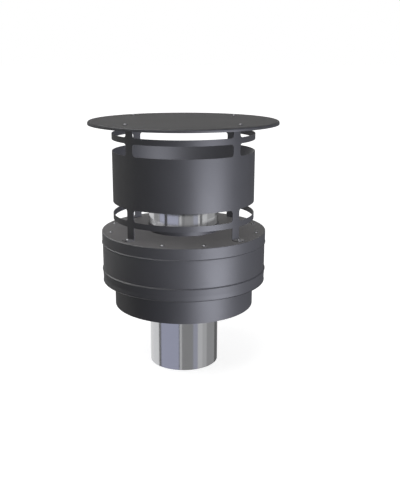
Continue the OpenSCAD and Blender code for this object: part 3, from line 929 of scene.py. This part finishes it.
def build_cap():
    rain_plate()
    cage()
    drum_end("drum_lid", LID_Z, -1, rim("pipe_upstand") + SLIP, LID_BEND)
    drum_end("drum_base", BASE_Z, 1, BASE_HOLE_R, BASE_BEND)
    painted_tube("drum_wall", DRUM_SHEET)
    painted_tube("pipe_upstand", UPSTAND_SHEET)
    outer_collar()
    flue_pipe()
    screws("plate_screws", "rain_plate_screws", PLATE_SCREW_LENGTH, PLATE_Z + WASHER_H, 1)
    screws("leg_foot_screws", "cage_foot_screws", FOOT_SCREW_LENGTH, LID_Z + CAGE_SHEET + WASHER_H, 2)
    screws("lid_circle_screws", "lid_screws", LID_SCREW_LENGTH, LID_Z + WASHER_H, 3, LID_PLACES, LEG_EVERY)
    washers()
    nuts()
    rivets()
    dress_hidden_nodes()


# Studio. Azimuth 0 is towards the camera and 90 is to its right

WHITE = (1, 1, 1)
COOL = (0.93, 0.96, 1.2)
PALE_BLUE = (0.96, 0.98, 1.15)
KEY_COLOUR = (0.93, 0.95, 1.08)
CARD_EYE_Z = 0.3
CARD_DISTANCE = 2.4
CARD_STEP = 6
LOW_BAND = (-70, 0)
HIGH_BAND = (0, 55)
LAMP_STEP = 35
CARD_WATTS = 4
LEG_HEIGHTS = (0.290, 0.350)
LID_HEIGHTS = (0.300, 0.326)
WORLD_LEVEL = 0.25
FLOOR_HALF = 40.0
FLOOR_WHITENING = 0.8
FLOOR_COLOUR = (0.8, 0.8, 0.8)
PICTURE_WIDE, PICTURE_TALL = 400, 487
FOCAL_PX = 726.4
PRINCIPAL_PX = (190.1, 243.75)
CAMERA_PLACE = (0.01385, -1.5270, 0.6627)
CAMERA_TILT = 14.647


def at_azimuth(azimuth, distance, z):
    a = math.radians(azimuth)
    return distance * math.sin(a), -distance * math.cos(a), z


def card_material(name, tint, level, see_through):
    """Even glow. A see-through card adds its glow to what lies behind it."""
    material, tree = empty_material(name)
    glow = output(tree, "ShaderNodeEmission", {"Color": (*tint, 1.0), "Strength": level})
    if see_through:
        clear = output(tree, "ShaderNodeBsdfTransparent")
        glow = output(tree, "ShaderNodeAddShader", {0: glow, 1: clear})
    surface_out(tree, glow)
    material.cycles.emission_sampling = "NONE"
    return material


def collection_of(name, pieces):
    made = bpy.data.collections.new(name)
    for piece in pieces:
        made.objects.link(piece)
    return made


def light_only(lamp, pieces):
    """The lamp or card lights these pieces and no others."""
    lamp.light_linking.receiver_collection = collection_of(lamp.name + "_receivers", pieces)


def let_through(lamp, blockers):
    """Only these pieces cast the lamp's shadows."""
    lamp.light_linking.blocker_collection = collection_of(lamp.name + "_blockers", blockers)


def studio_panel(name, verts, faces, level, tint, only):
    """A glowing panel that only reflections see, on the pieces in only, or on all of them if that is None."""
    mesh = bpy.data.meshes.new(name)
    mesh.from_pydata(verts, [], faces)
    mesh.materials.append(card_material(name, tint, level, only is not None))
    panel = add_object(name, mesh)
    panel.visible_camera = panel.visible_diffuse = panel.visible_shadow = False
    panel.visible_transmission = panel.visible_volume_scatter = False
    if only is not None:
        light_only(panel, only)


def card(name, from_azimuth, to_azimuth, low, high, level, tint=WHITE, distance=CARD_DISTANCE, only=None):
    """A curved upright panel between two azimuths and two elevations, in degrees."""
    steps = max(2, int(abs(to_azimuth - from_azimuth) / CARD_STEP))
    verts, faces = [], []
    for k in range(steps + 1):
        azimuth = from_azimuth + (to_azimuth - from_azimuth) * k / steps
        for elevation in (low, high):
            z = CARD_EYE_Z + distance * math.tan(math.radians(elevation))
            verts.append(at_azimuth(azimuth, distance, z))
        if k:
            faces.append([2 * k - 2, 2 * k, 2 * k + 1, 2 * k - 1])
    studio_panel(name, verts, faces, level, tint, only)


def dark_panel_below(level, radius=2.5, depth=6.0, corners=24):
    """The studio's dark underside, which downward-facing edges reflect."""
    angles = [TURN * k / corners for k in range(corners)]
    verts = [(radius * math.cos(a), radius * math.sin(a), -depth) for a in angles]
    studio_panel("card_below", verts, [tuple(range(corners))], level, WHITE, None)


def studio_cards(pipe, drum, walls, plate, screws):
    """Grey and dark panels all round, lower ones for the walls' reflections and upper ones for the lids', and
    nearer see-through ones that add a glow to some pieces alone."""
    dark_panel_below(0.03)
    card("card_rear_left", -180, -93, *LOW_BAND, 0.35)
    card("card_dark_line", -93, -84, -70, -20, 0.2)
    card("card_dark_line_upper", -93, -84, -20, 0, 0.35)
    card("card_left", -84, -14, *LOW_BAND, 0.05, COOL)
    card("card_slit", -14, -6.5, *LOW_BAND, 0.6)
    card("card_front", -6.5, 32, *LOW_BAND, 0.3)
    card("card_front_blue", 32, 48, *LOW_BAND, 0.4, PALE_BLUE)
    card("card_front_right", 48, 66, *LOW_BAND, 0.6)
    card("card_right", 66, 84, *LOW_BAND, 0.5)
    card("card_far_right", 84, 128, *LOW_BAND, 0.35)
    card("card_rear_right", 128, 180, *LOW_BAND, 0.15)
    card("card_upper_rear", 130, 230, *HIGH_BAND, 0.35)
    card("card_upper_left", -130, -16, 26, 58, 0.5)
    card("card_middle_left", -130, -12, 0, 26, 0.7)
    card("card_upper_front", -12, 12, *HIGH_BAND, 0.4)
    card("card_ceiling_right", 10, 150, 55, 84, 0.03)
    card("card_upper_right", 12, 130, *HIGH_BAND, 0.1)
    card("drum_edge_glow", -130, -16, 26, 62, 1.4, distance=2.3, only=drum)
    card("drum_line_glow", -85, -35, 26, 62, 2.0, distance=2.27, only=drum)
    card("drum_side_glow", -130, -80, 10, 40, 5.0, distance=2.25, only=drum)
    card("wall_side_glow", -130, -84, *LOW_BAND, 0.2, distance=2.36, only=walls)
    card("screw_glow", -110, 50, 20, 70, 3.0, distance=2.15, only=screws)
    card("plate_edge_glow", -120, 20, 45, 78, 3.8, distance=2.33, only=plate)
    card("plate_line_glow", -105, -40, 25, 50, 3.0, distance=2.28, only=plate)
    card("pipe_glow_low", -178, -93, -70, -20, 0.5, distance=2.2, only=[pipe])
    card("pipe_glow_high", -178, -113, -20, 0, 0.45, distance=2.2, only=[pipe])
    card("pipe_glow_right", 80, 120, -20, 0, 0.1, distance=2.1, only=[pipe])
    card("pipe_left_glow", -83, -16, *LOW_BAND, 0.4, COOL, distance=2.2, only=[pipe])


def add_lamp(name, kind, power):
    lamp = add_object(name, bpy.data.lights.new(name, kind))
    lamp.data.energy = power
    return lamp


def area_light(name, azimuth, centre, distance, width, tall, power, colour=WHITE):
    """An upright softbox that faces the cap's axis, with its middle at the height centre."""
    lamp = add_lamp(name, "AREA", power)
    lamp.data.shape = "RECTANGLE"
    lamp.data.size, lamp.data.size_y = width, tall
    lamp.data.color = colour
    lamp.location = at_azimuth(azimuth, distance, centre)
    lamp.rotation_euler = (math.radians(90), 0, math.radians(azimuth))
    lamp.visible_camera = False
    return lamp


def pipe_side_lamps(name, from_azimuth, to_azimuth, distance, heights, level, pipe):
    """Small softboxes side by side inside the cage. They light the pipe alone, as the legs and the lid would.
    Their level is as a card's: four watts to the square metre look as bright as a card of level 1."""
    low, high = heights
    count = math.ceil((to_azimuth - from_azimuth) / LAMP_STEP)
    step = (to_azimuth - from_azimuth) / count
    wide, tall = 2 * distance * math.tan(math.radians(step / 2)), high - low
    power = CARD_WATTS * wide * tall * level
    for k in range(count):
        azimuth = from_azimuth + step * (k + 0.5)
        lamp = area_light(f"{name}_{k + 1}", azimuth, (low + high) / 2, distance, wide, tall, power)
        light_only(lamp, [pipe])


def sky_light(name, strength, tilt=(math.radians(14), math.radians(-12), 0)):
    """Soft even light from above."""
    lamp = add_lamp(name, "SUN", strength)
    lamp.data.angle = math.radians(40)
    lamp.rotation_euler = tilt
    lamp.visible_glossy = False
    return lamp


def cage_glow(name, power, place, cage_sheet, blockers):
    """A small lamp inside the cage that lights the inner faces of its rings."""
    lamp = add_lamp(name, "POINT", power)
    lamp.data.shadow_soft_size = 0.04
    lamp.location = place
    light_only(lamp, [cage_sheet])
    let_through(lamp, blockers)


def studio_world(level):
    """White to the camera and to reflections, and dimmer as a light."""
    world = bpy.data.worlds.new("studio")
    bpy.context.scene.world = world
    world.use_nodes = True
    tree = world.node_tree
    tree.nodes.clear()
    path = tree.nodes.new("ShaderNodeLightPath").outputs
    seen = math_node(tree, "ADD", path["Is Camera Ray"], path["Is Glossy Ray"])
    seen = math_node(tree, "MINIMUM", math_node(tree, "ADD", seen, path["Is Transmission Ray"]), 1.0)
    strength = times_plus(tree, seen, 1.0 - level, level)
    sky = output(tree, "ShaderNodeBackground", {"Color": (*WHITE, 1), "Strength": strength})
    node(tree, "ShaderNodeOutputWorld", {"Surface": sky})


def studio_floor():
    """A pale floor that keeps the cap's shadow. Reflections, and a camera below it, look through it."""
    h = FLOOR_HALF
    mesh = bpy.data.meshes.new("floor")
    mesh.from_pydata([(-h, -h, 0), (h, -h, 0), (h, h, 0), (-h, h, 0)], [], [(0, 1, 2, 3)])
    material, tree = empty_material("pale_floor")
    path = tree.nodes.new("ShaderNodeLightPath").outputs
    plain = output(tree, "ShaderNodeBsdfDiffuse", {"Color": (*FLOOR_COLOUR, 1)})
    seen = times(tree, path["Is Camera Ray"], FLOOR_WHITENING)
    glow = output(tree, "ShaderNodeEmission", {"Strength": seen})
    lit = output(tree, "ShaderNodeAddShader", {0: plain, 1: glow})
    clear = output(tree, "ShaderNodeBsdfTransparent")
    below = tree.nodes.new("ShaderNodeNewGeometry").outputs["Backfacing"]
    under = times(tree, below, path["Is Camera Ray"])
    mirrored = math_node(tree, "MAXIMUM", path["Is Glossy Ray"], path["Is Transmission Ray"])
    through = math_node(tree, "MAXIMUM", mirrored, under)
    surface_out(tree, output(tree, "ShaderNodeMixShader", {"Fac": through, 1: lit, 2: clear}))
    mesh.materials.append(material)
    floor = add_object("floor", mesh)
    return floor


def photo_camera():
    """The camera fitted to the photograph's frame."""
    data = bpy.data.cameras.new("camera")
    data.sensor_width = 36.0
    data.sensor_fit = "AUTO"
    data.lens = FOCAL_PX / PICTURE_TALL * data.sensor_width
    data.shift_x = (PICTURE_WIDE / 2 - PRINCIPAL_PX[0]) / PICTURE_TALL
    data.shift_y = (PRINCIPAL_PX[1] - PICTURE_TALL / 2) / PICTURE_TALL
    data.clip_start, data.clip_end = 0.05, 100
    camera = add_object("camera", data)
    camera.location = CAMERA_PLACE
    camera.rotation_euler = (math.radians(90 - CAMERA_TILT), 0, 0)
    bpy.context.scene.camera = camera


def studio(pieces):
    """World, floor, panels and lamps. For the key light, the lid's sky and the lamps in the cage, only the nuts
    under the plate cast shadows."""
    bpy.context.scene.view_settings.view_transform = "Standard"
    studio_world(WORLD_LEVEL)
    floor = studio_floor()
    pipe, cage_sheet, plate = [pieces[name] for name in ("flue_pipe_sheet", "cage_sheet", "rain_plate_sheet")]
    drum = [pieces[name] for name in ("drum_wall_sheet", "drum_lid_sheet", "drum_base_sheet")]
    walls = [cage_sheet, pieces["outer_collar_sheet"], pieces["drum_wall_sheet"]]
    lid_screws = [pieces["leg_foot_screws"], pieces["lid_circle_screws"]]
    all_screws = [pieces["plate_screws"]] + lid_screws
    nuts_only = [pieces["plate_nuts"]]
    studio_cards(pipe, drum, walls, [plate], all_screws)
    pipe_side_lamps("lid_bounce", 52, 92, 0.09, LID_HEIGHTS, 0.1, pipe)
    pipe_side_lamps("left_leg_bounce", -70, -3, 0.14, LEG_HEIGHTS, 0.05, pipe)
    pipe_side_lamps("right_leg_bounce", 3, 36, 0.14, LEG_HEIGHTS, 0.05, pipe)
    pipe_side_lamps("far_right_leg_bounce", 36, 62, 0.14, LEG_HEIGHTS, 0.15, pipe)
    light_only(sky_light("sky_light", 0.2), list(pieces.values()))
    light_only(sky_light("floor_sky", 0.8), [floor])
    key = area_light("key_light", 42, -0.15, 1.6, 1.2, 0.9, 47, KEY_COLOUR)
    light_only(key, [piece for piece in pieces.values() if piece != pipe and piece not in all_screws])
    let_through(key, nuts_only)
    lid_names = ("drum_lid_sheet", "pipe_upstand_sheet", "lid_circle_washers", "leg_foot_washers")
    lid_sky = sky_light("lid_sky", 4.0, tilt=(0, 0, 0))
    light_only(lid_sky, [pieces[name] for name in lid_names] + lid_screws + [cage_sheet])
    let_through(lid_sky, nuts_only)
    cage_glow("cage_glow", 0.12, (0, 0, 0.42), cage_sheet, nuts_only)
    cage_glow("cage_glow_right", 0.13, (0.11, 0.03, 0.44), cage_sheet, nuts_only)
    cage_glow("cage_glow_low_right", 0.1, (0.10, 0.02, 0.35), cage_sheet, nuts_only)
    photo_camera()


build_cap()
PIECES = {o.name: o for o in bpy.data.objects if o.type == "MESH" and not o.hide_render}
studio(PIECES)
